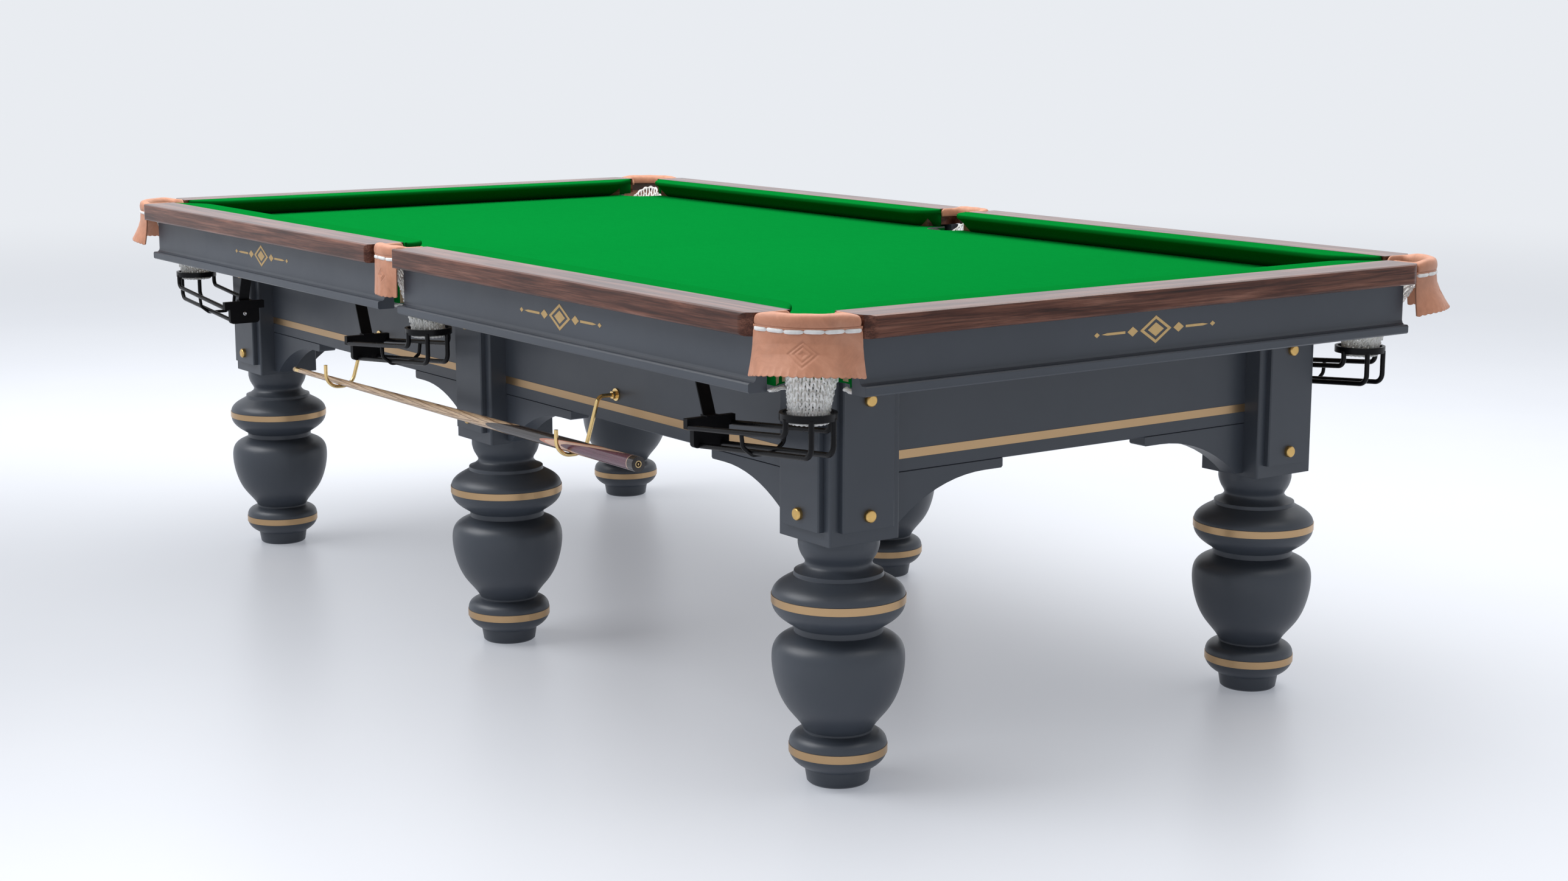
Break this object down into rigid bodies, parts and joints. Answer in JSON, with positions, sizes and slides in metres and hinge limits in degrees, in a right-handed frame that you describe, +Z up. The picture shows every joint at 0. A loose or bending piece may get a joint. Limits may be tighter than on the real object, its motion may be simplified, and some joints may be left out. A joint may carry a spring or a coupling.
{
  "type": "pool table",
  "caption": "Slate-bed pool table on turned legs, with leather-covered drop pockets, wire ball racks, wood rails, green cloth, and a cue lying on brass hooks.",
  "frame": {"origin": "on the floor under the middle of the table", "axes": "+X along the table's length, +Y across it away from the side with the cue hooks, +Z up"},
  "size_m": [2.8352, 1.5652, 0.845],
  "materials": {
    "grey_paint": "satin grey-blue lacquer on hardwood",
    "dark_walnut": "dark brown hardwood under clear gloss lacquer",
    "plain_wood": "unfinished softwood",
    "brass_strip": "brushed",
    "bolt_brass": "satin",
    "hook_brass": "polished",
    "bed_cloth": "napped wool cloth",
    "cushion_cloth": "napped wool cloth over rubber",
    "slate": "honed",
    "pocket_leather": "natural tan",
    "pocket_iron": "dark brown enamel",
    "pocket_net": "knitted white cord",
    "rack_black": "black gloss coating",
    "stop_black": "moulded black",
    "foot_steel": "zinc plated",
    "cue_tip": "pressed leather",
    "cue_ash": "ash with open grain, oiled",
    "cue_dark_wood": "polished dark hardwood with spliced veneers"
  },
  "bodies": {
    "table": {"ball_rack_back_left": "rack_black", "ball_rack_back_middle": "rack_black", "ball_rack_back_right": "rack_black", "ball_rack_front_left": "rack_black", "ball_rack_front_middle": "rack_black", "ball_rack_front_right": "rack_black", "beam_inlays": "brass_strip", "bed_cloth": "bed_cloth", "corbels": "grey_paint", "cross_beams": "plain_wood", "cue_hooks": "hook_brass", "cushion_back_left": "cushion_cloth", "cushion_back_right": "cushion_cloth", "cushion_front_left": "cushion_cloth", "cushion_front_right": "cushion_cloth", "cushion_left_end": "cushion_cloth", "cushion_right_end": "cushion_cloth", "end_aprons": "grey_paint", "end_beams": "grey_paint", "hook_rosettes": "hook_brass", "leg_back_left": "grey_paint", "leg_back_middle": "grey_paint", "leg_back_right": "grey_paint", "leg_bands": "brass_strip", "leg_front_left": "grey_paint", "leg_front_middle": "grey_paint", "leg_front_right": "grey_paint", "leg_posts": "grey_paint", "pocket_irons": "pocket_iron", "pocket_leathers": "pocket_leather", "pocket_nets": "pocket_net", "post_bolts": "bolt_brass", "post_panels": "grey_paint", "rack_stops": "stop_black", "rack_straps": "rack_black", "rail_bolts": "foot_steel", "rail_cap_back_left": "dark_walnut", "rail_cap_back_right": "dark_walnut", "rail_cap_front_left": "dark_walnut", "rail_cap_front_right": "dark_walnut", "rail_cap_left_end": "dark_walnut", "rail_cap_right_end": "dark_walnut", "side_aprons": "grey_paint", "side_beams": "grey_paint", "slate_left": "slate", "slate_liner": "plain_wood", "slate_middle": "slate", "slate_right": "slate"},
    "levelling_foot_front_right": {"levelling_foot_front_right": "foot_steel"},
    "levelling_foot_front_middle": {"levelling_foot_front_middle": "foot_steel"},
    "levelling_foot_front_left": {"levelling_foot_front_left": "foot_steel"},
    "levelling_foot_back_right": {"levelling_foot_back_right": "foot_steel"},
    "levelling_foot_back_middle": {"levelling_foot_back_middle": "foot_steel"},
    "levelling_foot_back_left": {"levelling_foot_back_left": "foot_steel"},
    "cue": {"cue_tip": "cue_tip", "cue_ferrule": "hook_brass", "cue_shaft": "cue_ash", "cue_butt": "cue_dark_wood", "cue_badge": "hook_brass"}
  },
  "joints": [
    {"name": "foot_screw_front_right", "type": "slide", "parent": "table", "child": "levelling_foot_front_right", "axis": [0, 0, -1], "range_m": [0, 0.015]},
    {"name": "foot_screw_front_middle", "type": "slide", "parent": "table", "child": "levelling_foot_front_middle", "axis": [0, 0, -1], "range_m": [0, 0.015]},
    {"name": "foot_screw_front_left", "type": "slide", "parent": "table", "child": "levelling_foot_front_left", "axis": [0, 0, -1], "range_m": [0, 0.015]},
    {"name": "foot_screw_back_right", "type": "slide", "parent": "table", "child": "levelling_foot_back_right", "axis": [0, 0, -1], "range_m": [0, 0.015]},
    {"name": "foot_screw_back_middle", "type": "slide", "parent": "table", "child": "levelling_foot_back_middle", "axis": [0, 0, -1], "range_m": [0, 0.015]},
    {"name": "foot_screw_back_left", "type": "slide", "parent": "table", "child": "levelling_foot_back_left", "axis": [0, 0, -1], "range_m": [0, 0.015]},
    {"name": "cue_lift", "type": "slide", "parent": "table", "child": "cue", "axis": [0, 0, 1], "range_m": [0, 0.045]}
  ]
}
